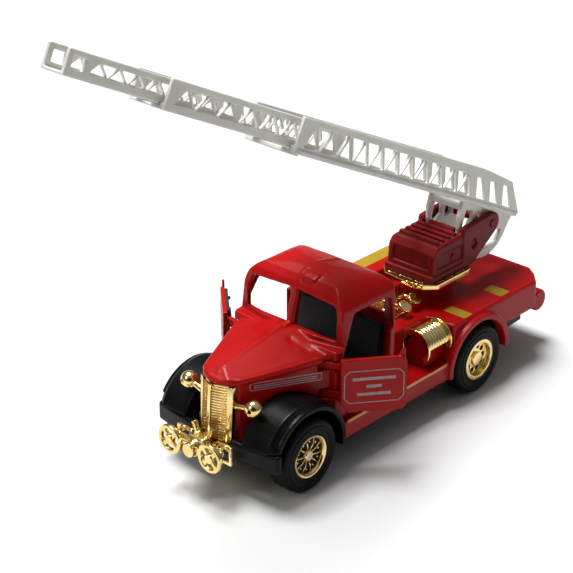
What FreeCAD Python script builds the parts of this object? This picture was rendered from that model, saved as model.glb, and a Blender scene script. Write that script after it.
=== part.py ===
"""Toy fire engine, about 130 mm long without its ladder: a die-cast truck with opening doors,
a turning turret and a three-section telescopic ladder.

Axes: +X forward, +Y to the vehicle's left, +Z up. The shapes are drawn with x = 0 at the rear
axle and moved along X when they are written, so that the origin is the middle of the bounding
box, on the floor. Units: millimetres.
"""
import FreeCAD, Part
import math
import os

V = FreeCAD.Vector

# ---- overall ---------------------------------------------------------------------------------
WHEELBASE = 70.0
TYRE_R = 10.0
TYRE_W = 7.0
TRACK_HALF = 21.4            # outer face of a tyre
RIM_R = 6.0
AXLE_R = 1.0
RUN_GAP = 0.06               # radial play of every shaft that turns in a hole
SKIN = 0.3                   # gap between painted panels that move past each other

# ---- body ------------------------------------------------------------------------------------
WALL = 1.4
DECK_Z = 24.0
DECK_HALF = 19.6
BODY_HALF = 21.3             # outside of the rear fenders
SKIRT_HALF = 20.2
SKIRT_TOP = 13.8
SKIRT_BOTTOM = 8.6
FLOOR_Z = 7.4                # underside of the chassis plate
FLOOR_T = 1.8
TAIL_X = -34.0
CAB_REAR = 32.0
RECESS_FRONT = 31.6
RECESS_REAR = 10.2
RECESS_DEPTH = 10.4          # inner wall of the hose-reel recess, from the middle of the truck
ARCH_R = 11.7
OVERHANG_Z = 15.4            # lower edge of the body behind the rear fenders
SCREW_X = (50.0, -24.0)
ROLLER_X = -36.0
ROLLER_Z = 13.3
ROLLER_R = 3.3
LOCKER_Z = 28.9              # top of the raised right-hand locker
REEL_Y = 14.4
REEL_Z = 19.6
REEL_R = 4.6
VALVE_CAPS = ((15.2, 6.1, 26.8), (10.0, 5.1, 27.0))

CAB_HALF = 18.6
CAB_FLOOR = 14.2
SILL_Z = 32.2                # lower edge of the side windows
COWL_X = 57.6
NOSE_X = 83.4
HOOD_NOSE_HALF = 6.3
HOOD_COWL_HALF = 15.9

# ---- front end -------------------------------------------------------------------------------
FENDER_R = 14.4
FENDER_WELL_R = 12.3
FENDER_IN_Y = 9.9
BUMPER_X = 84.6
BUMPER_CURVE_X = -30.0       # centre of the curve of the blade
BUMPER_Z = (9.8, 15.3)
BUMPER_HALF = 21.4
TRAY_Z = (12.2, 13.2)
GRILLE_HALF = 5.7
GRILLE_SWEEP = 0.44          # how much the grille falls back for each mm away from the middle
LAMP = (80.6, 11.3, 24.6)
WHEEL_X = 91.3               # pump hand-wheels
WHEEL_Y = 7.1
WHEEL_Z = 13.7

# ---- doors -----------------------------------------------------------------------------------
DOOR_HINGE_X = 58.5
DOOR_HINGE_Y = 13.5
DOOR_FRONT_X = 53.84
DOOR_T = 1.2
DOOR_FRONT_GAP = 1.05         # room for the front edge of the door to swing out
DOOR_LEN = 17.1
DOOR_Z0 = 17.2
DOOR_Z1 = 32.5
DOOR_OPEN = {"left": 38.4, "right": 47.2}     # degrees from closed, as the toy is shown
HINGE_ARM_Z = (20.4, 28.6)   # lower faces of the two hinge arms
HINGE_ARM_T = 2.0
PIN_R = 0.35

# ---- turret and ladder -----------------------------------------------------------------------
TURRET_X = -2.0
PLINTH_Z = 29.4
PLATE_Z0 = 29.7
PLATE_Z1 = 31.2
TURRET_Z1 = 41.7
PIVOT_X = -20.7
PIVOT_Z = 40.9
PITCH = 26.7                 # degrees, as the toy is shown
ARM_HALF_OUT = 8.3
ARM_HALF_IN = 6.3
CRADLE_OUT = 6.0
CRADLE_IN = 4.8
# each section: start and end along the ladder, bottom and top above the pivot, half width
MAIN = dict(s0=-10.6, s1=94.8, n0=3.5, n1=12.8, half=8.4)
MID = dict(s0=74.0, s1=140.3, n0=4.7, n1=12.2, half=6.0)
TIP = dict(s0=112.0, s1=170.4, n0=5.8, n1=11.9, half=3.7)
RAIL_T = 1.0
LADDER_FLOOR = 0.8

# ---- pull-back motor -------------------------------------------------------------------------
GEAR_MODULE = 0.5
AXLE_TEETH = 10
SPRING_TEETH = 24
GEAR_SPACING = GEAR_MODULE * (AXLE_TEETH + SPRING_TEETH) / 2 + 0.12
SPRING_X = GEAR_SPACING * 0.98
SPRING_Z = TYRE_R + GEAR_SPACING * math.sqrt(1 - 0.98 ** 2)
MOTOR_HALF = 8.0
CASE_T = 1.0


# ---- helpers ---------------------------------------------------------------------------------
def box(x0, x1, y0, y1, z0, z1):
    return Part.makeBox(x1 - x0, y1 - y0, z1 - z0, V(x0, y0, z0))


def rod(p, r, length, axis):
    """Cylinder from p along the unit vector axis."""
    return Part.makeCylinder(r, length, V(*p), V(*axis))


def prism(points, axis, lo, hi):
    """Solid with a polygon section; axis is its long direction.

    The points are (x, z) for axis y, (x, y) for axis z and (y, z) for axis x.
    """
    place = {
        "y": lambda a, b: V(a, lo, b),
        "z": lambda a, b: V(a, b, lo),
        "x": lambda a, b: V(lo, a, b),
    }[axis]
    run = {"y": V(0, hi - lo, 0), "z": V(0, 0, hi - lo), "x": V(hi - lo, 0, 0)}[axis]
    ring = [place(*p) for p in points]
    return Part.Face(Part.makePolygon(ring + ring[:1])).extrude(run)


def fuse(shapes):
    out = shapes[0]
    if len(shapes) > 1:
        out = out.multiFuse(shapes[1:])
    return out.removeSplitter()


def cut(shape, tools):
    return shape.cut(tools).removeSplitter()


def flip(shape):
    """The same shape on the other side of the truck."""
    return shape.mirror(V(0, 0, 0), V(0, 1, 0))


def both(shape):
    return [shape, flip(shape)]


def arc_points(cx, cz, r, a0, a1, steps):
    """Points of an arc, from angle a0 to a1 in degrees."""
    out = []
    for i in range(steps + 1):
        a = math.radians(a0 + (a1 - a0) * i / steps)
        out.append((cx + r * math.cos(a), cz + r * math.sin(a)))
    return out


def rounded(shape, radius, chosen):
    """Fillet the edges whose middle point satisfies chosen(x, y, z)."""
    edges = []
    for e in shape.Edges:
        m = e.valueAt((e.FirstParameter + e.LastParameter) / 2)
        if chosen(m.x, m.y, m.z):
            edges.append(e)
    return shape.makeFillet(radius, edges)


def turned(shape, degrees, point, axis):
    out = shape.copy()
    out.rotate(V(*point), V(*axis), degrees)
    return out


# ---- wheels ----------------------------------------------------------------------------------
def tyre(x, side):
    """Tyre with a rounded tread and a shallow bead recess on both faces."""
    y0 = TRACK_HALF - TYRE_W
    body = rod((x, y0, TYRE_R), TYRE_R, TYRE_W, (0, 1, 0))
    body = rounded(body, 1.5, lambda mx, my, mz: True)
    bore = rod((x, y0 - 1, TYRE_R), RIM_R, TYRE_W + 2, (0, 1, 0))
    groove = rod((x, TRACK_HALF - 0.35, TYRE_R), 8.0, 1, (0, 1, 0))
    groove = groove.cut(rod((x, TRACK_HALF - 0.35, TYRE_R), 6.9, 1, (0, 1, 0)))
    out = cut(body, [bore, groove])
    return out if side > 0 else flip(out)


def rim(x, side, driven):
    """Plated rim: an outer ring, a dished face and a hub pressed on the axle.

    The front face has ten spokes; the driven rear face has ten round holes.
    """
    y1 = TRACK_HALF - 0.2
    y0 = TRACK_HALF - TYRE_W
    hoop = rod((x, y0, TYRE_R), RIM_R, y1 - y0, (0, 1, 0))
    hoop = hoop.cut(rod((x, y0 - 1, TYRE_R), 4.9, y1 - y0 + 2, (0, 1, 0)))
    hub_end = y1 - (0.7 if driven else 1.0)
    hub = rod((x, y0, TYRE_R), 2.0, hub_end - y0, (0, 1, 0))
    face = rod((x, y1 - 2.6, TYRE_R), 5.2, 1.0, (0, 1, 0))
    holes = []
    for i in range(10):
        a = math.radians(36 * i)
        cx = x + 3.5 * math.cos(a)
        cz = TYRE_R + 3.5 * math.sin(a)
        holes.append(rod((cx, y1 - 4, cz), 0.75, 4, (0, 1, 0)))
    parts = [hoop, hub, face.cut(holes)]
    if not driven:
        for i in range(10):
            spoke = box(x + 1.6, x + 4.95, y1 - 1.8, y1 - 1.2, TYRE_R - 0.35, TYRE_R + 0.35)
            parts.append(turned(spoke, 36 * i + 18, (x, 0, TYRE_R), (0, 1, 0)))
    bore = rod((x, y0 - 1, TYRE_R), AXLE_R, hub_end - y0 + (0.2 if driven else 3), (0, 1, 0))
    out = cut(fuse(parts), [bore])
    return out if side > 0 else flip(out)


def axle(x, half):
    return rod((x, -half, TYRE_R), AXLE_R, 2 * half, (0, 1, 0))


# ---- chassis ---------------------------------------------------------------------------------
def chassis_base():
    """Black base: floor plate, axle blocks, motor opening and screw bosses."""
    plan = [(-32, -12), (-32, 12), (-12.6, 13), (-12.6, 13.4), (12.4, 13.4), (14, 18.6), (55, 18.6),
            (57, 13.4), (80, 9), (80, -9), (57, -13.4), (55, -18.6), (14, -18.6), (12.4, -13.4),
            (-12.6, -13.4), (-12.6, -13)]
    plate = prism(plan, "z", FLOOR_Z, FLOOR_Z + FLOOR_T)
    z1 = FLOOR_Z + FLOOR_T
    blocks = []
    for side in (-1, 1):
        y = side * 11.6
        blocks.append(box(WHEELBASE - 3, WHEELBASE + 3, y - 1.6, y + 1.6, z1, TYRE_R + 2.6))
        blocks.append(box(-3, 3, y - 1.6, y + 1.6, z1, TYRE_R + 2.6))
    posts = [rod((x, 0, z1), 2.6, 3.0, (0, 0, 1)) for x in SCREW_X]
    rib = box(24, 46, -0.8, 0.8, z1, z1 + 1.6)
    boards = both(box(37.0, 56.4, 17.0, 19.7, FLOOR_Z, SKIRT_BOTTOM - 0.1))
    holes = [rod((x, 0, FLOOR_Z - 1), 1.5, 9, (0, 0, 1)) for x in SCREW_X]
    holes += [rod((x, 0, FLOOR_Z - 1), 2.6, 2.2, (0, 0, 1)) for x in SCREW_X]
    holes += [rod((x, -20, TYRE_R), AXLE_R + RUN_GAP, 40, (0, 1, 0)) for x in (0, WHEELBASE)]
    motor = box(-4.6, 16.4, -MOTOR_HALF - 0.2, MOTOR_HALF + 0.2, FLOOR_Z - 1, z1 + 1)
    base = cut(fuse([plate] + blocks + posts + [rib] + boards), holes + [motor])
    return cut(base, both(front_fender()) + [rear_body()])


def chassis_screws():
    """Two self-tapping screws that hold the base to the body posts."""
    out = []
    for x in SCREW_X:
        head = rod((x, 0, FLOOR_Z - 0.6), 2.3, 1.8, (0, 0, 1))
        slot_a = box(x - 1.5, x + 1.5, -0.3, 0.3, FLOOR_Z - 0.7, FLOOR_Z - 0.1)
        slot_b = box(x - 0.3, x + 0.3, -1.5, 1.5, FLOOR_Z - 0.7, FLOOR_Z - 0.1)
        shank = rod((x, 0, FLOOR_Z + 1.0), 1.2, 7.0, (0, 0, 1))
        out.append(cut(fuse([head, shank]), [slot_a, slot_b]))
    return Part.makeCompound(out)


def front_bumper():
    """Black bumper blade, swept back at both ends, with its two brackets."""
    curve = V(BUMPER_CURVE_X, 0, 0)
    z0, z1 = BUMPER_Z
    blade = Part.makeCylinder(BUMPER_X - BUMPER_CURVE_X, z1 - z0, curve + V(0, 0, z0))
    blade = rounded(blade, 0.9, lambda x, y, z: True)
    blade = blade.cut(Part.makeCylinder(BUMPER_X - BUMPER_CURVE_X - 2.0, 10.0, curve + V(0, 0, z0 - 1)))
    blade = blade.common(box(BUMPER_CURVE_X, 90, -BUMPER_HALF, BUMPER_HALF, 0, 20))
    blade = rounded(blade, 0.8, lambda x, y, z: abs(y) > BUMPER_HALF - 0.01)
    arms = [box(76, 83.4, y - 1.5, y + 1.5, 9.2, 11.0) for y in (-6.5, 6.5)]
    tray_notch = box(70, 95, -6.45, 6.45, TRAY_Z[0], 20)
    wheel_ways = both(rod((WHEELBASE, 13.9, TYRE_R), TYRE_R + 0.4, 8, (0, 1, 0)))
    return cut(fuse([blade] + arms), [tray_notch] + wheel_ways)


def front_fender():
    """Left front fender: a full arch over the wheel with a rounded outer shoulder and an inner web."""
    y0 = FENDER_IN_Y
    arch = rod((WHEELBASE, y0, TYRE_R), FENDER_R, BODY_HALF - y0, (0, 1, 0))
    arch = rounded(arch, 3.0, lambda x, y, z: y > BODY_HALF - 0.01)
    well = rod((WHEELBASE, y0 + 1.4, TYRE_R), FENDER_WELL_R, BODY_HALF, (0, 1, 0))
    under = box(WHEELBASE - 20, WHEELBASE + 20, 0, 30, -20.0, 8.0)
    axle_way = box(WHEELBASE - 6, WHEELBASE + 6, 0, 30, 0, 14.6)
    bumper_way = box(BUMPER_X - 4.6, 95, 0, 30, 0, BUMPER_Z[1] + SKIN)
    return cut(arch.fuse(fender_nose()), [well, under, axle_way, bumper_way])


def fender_nose():
    """Slight bulge in front of the left front fender, beside the hood."""
    return rod((WHEELBASE + 0.8, FENDER_IN_Y, TYRE_R + 0.3), FENDER_R - 0.3, 9.0, (0, 1, 0))


# ---- cab -------------------------------------------------------------------------------------
def cab_outer(inset):
    """Outer form of the cab without the hood, made smaller on every side by inset."""
    i = inset
    side = [(CAB_REAR + i, CAB_FLOOR - 1.2), (CAB_REAR + i, 42.0)]
    side += arc_points(CAB_REAR + 4.6, 42.2, 4.6 - i, 172, 112, 6)
    side += [(40.0, 48.0 - i), (44.0, 49.0 - i), (48.0, 49.0 - i), (51.0, 47.8 - i)]
    side.append((52.8 - i * 0.6, 46.2 - i))
    side += [(53.6 - i, 44.6), (53.6 - i, 43.2), (55.9 - i, 34.2 - i), (COWL_X - i, 33.4 - i)]
    side += [(COWL_X - i, CAB_FLOOR - 1.2)]
    half = [(-CAB_HALF + i, CAB_FLOOR - 1.2), (-CAB_HALF + i, SILL_Z), (-17.5 + i, 39.8)]
    half += arc_points(-9.0, 39.9, 8.6 - i, 160, 100, 8)
    half += [(-6.0, 48.8 - i), (0.0, 49.1 - i)]
    front = half + [(-y, z) for y, z in reversed(half[:-1])]
    corner = [(CAB_REAR + i, 14.0), (CAB_REAR + 0.6 + i, 16.4 - i * 0.5)]
    corner += [(CAB_REAR + 1.9 + i * 0.7, 18.0 - i * 0.7), (CAB_REAR + 3.8, CAB_HALF - i)]
    far_corner = [(x, -y) for x, y in corner]
    plan = far_corner + [(55.2 - i, -CAB_HALF), (57.4 - i, -17.9), (COWL_X - i, -1.0)]
    plan += [(COWL_X - i, 1.0), (57.4 - i, 17.9), (55.2 - i, CAB_HALF)] + corner[::-1]
    sweep = far_corner + [(53.9 - i, -CAB_HALF), (56.0 - i, -8.0), (56.4 - i, 0.0)]
    sweep += [(56.0 - i, 8.0), (53.9 - i, CAB_HALF)] + corner[::-1]
    form = prism(side, "y", -30, 30)
    form = form.common(prism(front, "x", 20, 70))
    upper = form.common(prism(sweep, "z", 33.4, 70))
    return form.common(prism(plan, "z", 0, 33.4)).fuse(upper)


def hood_outer(inset):
    """Wedge-shaped hood with a centre crease, made smaller by inset."""
    i = inset
    plan = [(54.0, -16.6 + i), (COWL_X, -HOOD_COWL_HALF + i), (80.2, -HOOD_NOSE_HALF + i)]
    plan += [(82.4 - i, -4.4 + i * 0.5), (NOSE_X - i, -1.6), (NOSE_X - i, 1.6), (82.4 - i, 4.4 - i * 0.5)]
    plan += [(80.2, HOOD_NOSE_HALF - i), (COWL_X, HOOD_COWL_HALF - i), (54.0, 16.6 - i)]
    top = [(54.0, 12.0), (54.0, 36.2 - i), (80.0, 32.3 - i), (NOSE_X, 30.2 - i), (NOSE_X, 12.0)]
    roof = [(-17.0, 12.0), (-17.0, 32.6 - i), (-8.0, 33.9 - i), (0.0, 36.2 - i), (8.0, 33.9 - i),
            (17.0, 32.6 - i), (17.0, 12.0)]
    tilt = prism(roof, "x", 53.0, 90.0)
    tilt = turned(tilt, 8.2, (54.0, 0, 36.2), (0, 1, 0))
    return prism(plan, "z", 12.6, 60).common(prism(top, "y", -30, 30)).common(tilt)


def cab_body():
    """Red die-cast cab: roof, pillars, cowl and hood as one thin shell."""
    cab = cab_outer(0.0)
    hood = hood_outer(0.0)
    shell = fuse([cab, hood])
    inner = cab_outer(WALL).fuse(box(CAB_REAR + WALL, 55.0, -CAB_HALF + WALL, CAB_HALF - WALL, 10, 20))
    hood_in = hood_outer(WALL).fuse(box(58.5, 78, -4.5, 4.5, 10, 24))
    tools = [inner, hood_in.common(box(COWL_X, 90, -30, 30, 0, 70))]
    tools += both(door_opening())
    tools += both(windscreen_pane())
    tools += both(box(CAB_REAR - 1, CAB_REAR + 4, 3.2, 13.6, 34.6, 43.4))
    tools += [fuse(both(hinge_bore())), fuse(both(hinge_pockets()))]
    post = rod((SCREW_X[0], 0, FLOOR_Z + FLOOR_T + 3.0), 2.6, 3.6, (0, 0, 1))
    bridge = box(SCREW_X[0] - 2.6, COWL_X + 4, -2.6, 2.6, 13.4, 15.6)
    wedge = box(COWL_X + 2, COWL_X + 4, -15, 15, 12.7, 20)
    posts = [p.common(fuse([cab, hood])) for p in both(hinge_post())]
    shell = cut(cut(shell, tools[:-2]).multiFuse(posts), tools[-2:])
    shell = fuse([shell, post.fuse(bridge), wedge.common(hood)])
    hole = rod((SCREW_X[0], 0, 5), 1.2, 13, (0, 0, 1))
    beside = rod((WHEELBASE, FENDER_IN_Y - 0.02, TYRE_R), FENDER_R + 0.02, 12.0, (0, 1, 0))
    tray = box(79.3, 95, -6.45, 6.45, 10, TRAY_Z[1] + 0.02)
    return cut(shell, [hole, grille_recess(), tray] + both(beside) + both(fender_nose()))


def grille_recess():
    """Wedge taken out of the nose behind the grille."""
    side = GRILLE_HALF + 0.03
    back = 82.66 - GRILLE_SWEEP * side
    ring = [(82.66, 0.0), (back, side), (95.0, side), (95.0, -side), (back, -side)]
    return turned(prism(ring, "z", 11.0, 28.93), -4.0, (83.0, 0, 28.0), (0, 1, 0))


def door_opening():
    """Left door hole and the window above it."""
    rear = DOOR_FRONT_X - DOOR_LEN - SKIN
    front = DOOR_FRONT_X + DOOR_FRONT_GAP
    low = DOOR_Z0 - SKIN
    outline = [(rear, low), (rear, SILL_Z), (rear - 1.6, SILL_Z + 0.4), (rear - 1.6, 40.4)]
    outline += [(rear - 0.4, 41.4), (48.6, 41.6), (49.8, 40.8)]
    outline += [(54.2, DOOR_Z1 + SKIN), (front, DOOR_Z1 + SKIN), (front, low)]
    return prism(outline, "y", 14.0, 24.0)


def hinge_bore():
    return rod((DOOR_HINGE_X, DOOR_HINGE_Y, DOOR_Z0 + 2.1), PIN_R, DOOR_Z1 - DOOR_Z0 - 3.4, (0, 0, 1))


def hinge_post():
    """Column inside the left side of the cowl that holds the hinge pin."""
    return rod((DOOR_HINGE_X, DOOR_HINGE_Y, DOOR_Z0 - 3.0), 1.7, DOOR_Z1 - DOOR_Z0 + 3.2, (0, 0, 1))


def hinge_pockets():
    """Slots in the left side of the cowl that the two hinge arms of the door swing through."""
    plan = [(DOOR_FRONT_X - 2.0, 12.6), (DOOR_HINGE_X + 1.8, 12.2), (DOOR_HINGE_X + 1.8, 22.0)]
    plan.append((DOOR_FRONT_X - 2.0, 22.0))
    return fuse([prism(plan, "z", z - SKIN, z + HINGE_ARM_T + SKIN) for z in HINGE_ARM_Z])


def windscreen_pane():
    """Left half of the split windscreen, cut straight back through the front of the cab."""
    outline = [(1.0, 35.0), (15.6, 34.8), (15.5, 41.0), (14.2, 43.8), (1.1, 44.6)]
    return prism(outline, "x", 50.0, 60.0)


def cab_interior():
    """Black insert: floor, bench seat, dashboard and rear panel."""
    floor = box(34.2, 54.6, -16.4, 16.4, CAB_FLOOR, CAB_FLOOR + 1.2)
    seat = box(35.6, 43.6, -14.6, 14.6, CAB_FLOOR + 1.2, 20.4)
    seat = rounded(seat, 1.0, lambda x, y, z: z > 20.3)
    back = prism([(33.6, 20.4), (33.6, 31.6), (35.2, 31.6), (37.4, 20.4)], "y", -14.0, 14.0)
    dash = prism([(52.0, 26.4), (52.0, 31.8), (54.3, 33.0), (54.3, 26.4)], "y", -11.8, 11.8)
    kick = prism([(53.2, 15.4), (53.2, 26.4), (54.3, 26.4), (54.3, 15.4)], "y", -11.0, 11.0)
    boss_way = box(SCREW_X[0] - 2.7, COWL_X, -2.7, 2.7, 13.0, 15.9)
    return cut(fuse([floor, seat, back, dash, kick]), [boss_way])


def steering_wheel():
    """Right-hand-drive wheel on its column; it is moulded fixed to the dashboard."""
    centre = (48.6, -8.0, 30.2)
    ring = Part.makeTorus(3.6, 0.42, V(*centre), V(0, 0, 1))
    spokes = [turned(box(centre[0], centre[0] + 3.6, centre[1] - 0.3, centre[1] + 0.3, centre[2] - 0.25,
                         centre[2] + 0.25), 120 * i, centre, (0, 0, 1)) for i in range(3)]
    hub = rod((centre[0], centre[1], centre[2] - 0.6), 0.9, 1.2, (0, 0, 1))
    column = rod((centre[0], centre[1], centre[2] - 8.0), 0.6, 8.0, (0, 0, 1))
    wheel = turned(fuse([ring, hub, column] + spokes), -38, centre, (0, 1, 0))
    return cut(wheel, [box(52.0, 60, -20, 0, 10, 40)])


# ---- doors -----------------------------------------------------------------------------------
def door_panel():
    """Left door, closed: a flat panel with a finger lug at its rear top corner and two hinge arms."""
    x0 = DOOR_FRONT_X - DOOR_LEN
    y0 = CAB_HALF - DOOR_T
    outline = [(x0, DOOR_Z0 + 1.0), (x0 + 1.0, DOOR_Z0)]
    outline += [(DOOR_FRONT_X - 2.2, DOOR_Z0), (DOOR_FRONT_X, DOOR_Z0 + 2.7)]
    outline += [(DOOR_FRONT_X, DOOR_Z1)]
    outline += arc_points(x0 + 1.6, DOOR_Z1 - 1.6, 1.6, 90, 180, 6)
    lug = [(x0 + 0.3, DOOR_Z1 - 1.4), (x0 + 0.3, DOOR_Z1 + 1.7), (x0 + 0.9, DOOR_Z1 + 2.1)]
    lug += [(x0 + 1.5, DOOR_Z1 + 1.5), (x0 + 2.4, DOOR_Z1 - 1.4)]
    parts = [prism(outline, "y", y0, CAB_HALF), prism(lug, "y", y0, y0 + 0.7)]
    for z in HINGE_ARM_Z:
        eye = rod((DOOR_HINGE_X, DOOR_HINGE_Y, z), 0.9, HINGE_ARM_T, (0, 0, 1))
        neck = [(DOOR_HINGE_X, DOOR_HINGE_Y - 0.9), (DOOR_HINGE_X + 0.2, DOOR_HINGE_Y + 0.85)]
        neck += [(DOOR_FRONT_X + 0.2, y0 - 0.9), (DOOR_FRONT_X - 0.4, y0 + 0.2)]
        neck.append((DOOR_FRONT_X - 1.8, y0 + 0.2))
        neck += [(DOOR_FRONT_X - 1.8, y0 - 1.0), (DOOR_FRONT_X - 0.2, y0 - 2.2)]
        parts += [eye, prism(neck, "z", z, z + HINGE_ARM_T)]
    bore = rod((DOOR_HINGE_X, DOOR_HINGE_Y, DOOR_Z0 - 2), PIN_R + RUN_GAP, 20, (0, 0, 1))
    return cut(fuse(parts), [bore])


def door_liner():
    """Black inner panel of the left door, with an armrest and a latch peg."""
    x0 = DOOR_FRONT_X - DOOR_LEN
    inner = CAB_HALF - DOOR_T
    sheet = box(x0 + 0.8, DOOR_FRONT_X - 3.0, inner - 0.8, inner, DOOR_Z0 + 1.0, DOOR_Z1 - 0.8)
    rest = box(x0 + 3.0, DOOR_FRONT_X - 4.6, inner - 1.5, inner - 0.8, DOOR_Z0 + 8.6, DOOR_Z0 + 9.8)
    peg = rod((x0 + 2.2, inner - 1.5, DOOR_Z1 - 3.0), 0.5, 0.8, (0, 1, 0))
    return fuse([sheet, rest, peg])


def hung(shape, side):
    """Swing a closed left-door shape to the open rest position, on the named side."""
    out = turned(shape, -DOOR_OPEN[side], (DOOR_HINGE_X, DOOR_HINGE_Y, 0), (0, 0, 1))
    return out if side == "left" else flip(out)


def door_pins():
    return Part.makeCompound(both(hinge_bore()))


# ---- rear body -------------------------------------------------------------------------------
def rear_body():
    """Red deck with skirts, rear fenders, tail and the round plinth under the turret."""
    deck_plan = [(TAIL_X, -12.8), (-31.7, -16.1), (-27.8, -DECK_HALF), (RECESS_FRONT, -DECK_HALF),
                 (RECESS_FRONT, RECESS_DEPTH), (RECESS_REAR + 1.0, RECESS_DEPTH),
                 (RECESS_REAR, DECK_HALF), (-27.8, DECK_HALF), (-31.7, 16.1), (TAIL_X, 12.8)]
    block = prism(deck_plan, "z", 13.6, DECK_Z)
    block = rounded(block, 0.7, lambda x, y, z: abs(z - DECK_Z) < 0.01)
    fender = [(-13.6, 9.6)] + arc_points(-0.6, TYRE_R, 13.2, 184, 90, 12)
    fender += arc_points(0.4, TYRE_R, 13.2, 90, -2, 12)
    fender += [(13.0, SKIRT_BOTTOM), (11.6, SKIRT_BOTTOM), (0.0, 12.0), (-11.8, 9.6)]
    sides = both(prism(fender, "y", 12.0, BODY_HALF))
    skirt = [(11.0, SKIRT_BOTTOM), (11.0, SKIRT_TOP), (55.4, SKIRT_TOP), (57.0, 12.4), (57.0, SKIRT_BOTTOM)]
    sides += both(prism(skirt, "y", 18.7, SKIRT_HALF))
    shelf = box(11.0, 37.0, -SKIRT_HALF, SKIRT_HALF, SKIRT_TOP - 1.4, SKIRT_TOP)
    shelf = cut(shelf, [box(RECESS_FRONT, 40, -18.7, 18.7, 10, 15)])
    body = fuse([block, shelf] + sides)
    inner = DECK_HALF - WALL
    hollow = prism([(TAIL_X + WALL, -12.0), (-30.6, -15.1), (-27.2, -inner), (30.2, -inner),
                    (30.2, RECESS_DEPTH - WALL), (9.6, RECESS_DEPTH - WALL), (8.8, inner), (-27.2, inner),
                    (-30.6, 15.1), (TAIL_X + WALL, 12.0)], "z", 0.0, DECK_Z - WALL)
    arches = both(rod((0.0, 12.4, TYRE_R), ARCH_R, 20, (0, 1, 0)))
    overhang = box(TAIL_X - 1, -13.4, -30, 30, 5, OVERHANG_Z)
    plinth = rod((TURRET_X, 0, DECK_Z - 0.5), 7.4, PLINTH_Z - DECK_Z + 0.5, (0, 0, 1))
    post = rod((SCREW_X[1], 0, FLOOR_Z + FLOOR_T + 3.0), 2.6, DECK_Z - 13.0, (0, 0, 1))
    bracket = [(TAIL_X + 1.0, 23.0), (TAIL_X - 0.1, 23.0), (ROLLER_X - 1.6, 16.4), (ROLLER_X - 2.4, ROLLER_Z),
               (ROLLER_X, ROLLER_Z - 2.6), (TAIL_X + 1.0, ROLLER_Z + 1.0)]
    brackets = both(prism(bracket, "y", 11.0, 12.7))
    roller_way = rod((ROLLER_X, -16, ROLLER_Z), ROLLER_R + 0.2, 32, (0, 1, 0))
    body = cut(body, [hollow, overhang, roller_way] + arches)
    body = fuse([body, plinth, post])
    body = cut(body, [rod((SCREW_X[1], 0, 5), 1.2, 14, (0, 0, 1)), rivet_bore(0.0)])
    roller = rod((ROLLER_X, -16, ROLLER_Z), ROLLER_R, 32, (0, 1, 0))
    body = fuse([body] + [b.cut(roller) for b in brackets])
    return cut(body, both(front_fender()))


def rivet_bore(play):
    return rod((TURRET_X, 0, 15), 1.6 + play, 20, (0, 0, 1))


def tail_roller():
    drum = rod((ROLLER_X, -15.6, ROLLER_Z), ROLLER_R, 31.2, (0, 1, 0))
    return rounded(drum, 0.5, lambda x, y, z: True)


def side_locker():
    """Raised locker along the right-hand edge of the deck."""
    lid = box(-14.0, 29.0, -DECK_HALF - 1.0, -11.4, DECK_Z, LOCKER_Z)
    return rounded(lid, 0.5, lambda x, y, z: z > LOCKER_Z - 0.01)


def reel_stand():
    """Pedestal of the hose reel, with a half-round core on top that the drum sits over."""
    block = box(12.0, 20.2, 11.0, 17.4, SKIRT_TOP, REEL_Z)
    core = rod((12.0, REEL_Y, REEL_Z), 3.0, 8.2, (1, 0, 0))
    return cut(fuse([block, core]), [rear_body()])


def hose_reel():
    """Half-drum wound with seven turns of hose between two thin flanges."""
    ribs = []
    for i in range(7):
        ring = Part.makeTorus(REEL_R - 0.55, 0.62, V(12.6 + 1.13 * i, REEL_Y, REEL_Z), V(1, 0, 0))
        ribs.append(ring)
    drum = rod((11.4, REEL_Y, REEL_Z), REEL_R - 0.5, 9.4, (1, 0, 0))
    flanges = [rod((x, REEL_Y, REEL_Z), REEL_R + 0.8, 0.6, (1, 0, 0)) for x in (11.0, 20.6)]
    upper = box(8, 24, REEL_Y - 8, REEL_Y + 8, REEL_Z, REEL_Z + 9)
    legs = box(8, 24, REEL_Y - 8, REEL_Y + 8, REEL_Z - 2.4, REEL_Z)
    core = rod((9.0, REEL_Y, REEL_Z), 3.6, 14, (1, 0, 0))
    top = fuse([drum] + ribs + flanges).common(upper)
    low = fuse(flanges).common(legs)
    stand = box(12.0, 20.2, 11.0, 17.4, 10, REEL_Z)
    deck_edge = box(8, 24, 0, RECESS_DEPTH, REEL_Z - 9, DECK_Z + 2)
    return cut(fuse([top, low]), [core, stand, deck_edge, rear_body()])


def deck_valves():
    """Plated pipework behind the cab: a base, two branch pipes and two round outlet caps."""
    base = box(12.6, 20.4, -5.6, 5.4, DECK_Z, DECK_Z + 0.8)
    riser = rod((16.0, 0.0, DECK_Z), 1.0, 3.6, (0, 0, 1))
    cross = rod((16.0, -4.4, DECK_Z + 2.8), 0.8, 9.4, (0, 1, 0))
    tee = rod((13.6, -4.4, DECK_Z + 2.8), 1.0, 4.4, (1, 0, 0))
    parts = [base, riser, cross, tee]
    for x, y, z in VALVE_CAPS:
        parts.append(rod((x, y - 4.0, z), 0.7, 4.2, (0, 1, 0)))
        parts.append(rod((x, y, z), 1.9, 0.8, (0, 0.55, 0.835)))
    x, y, z = VALVE_CAPS[1]
    parts.append(rod((x, y - 3.4, z), 0.7, 16.0 - x, (1, 0, 0)))
    return fuse(parts)


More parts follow.
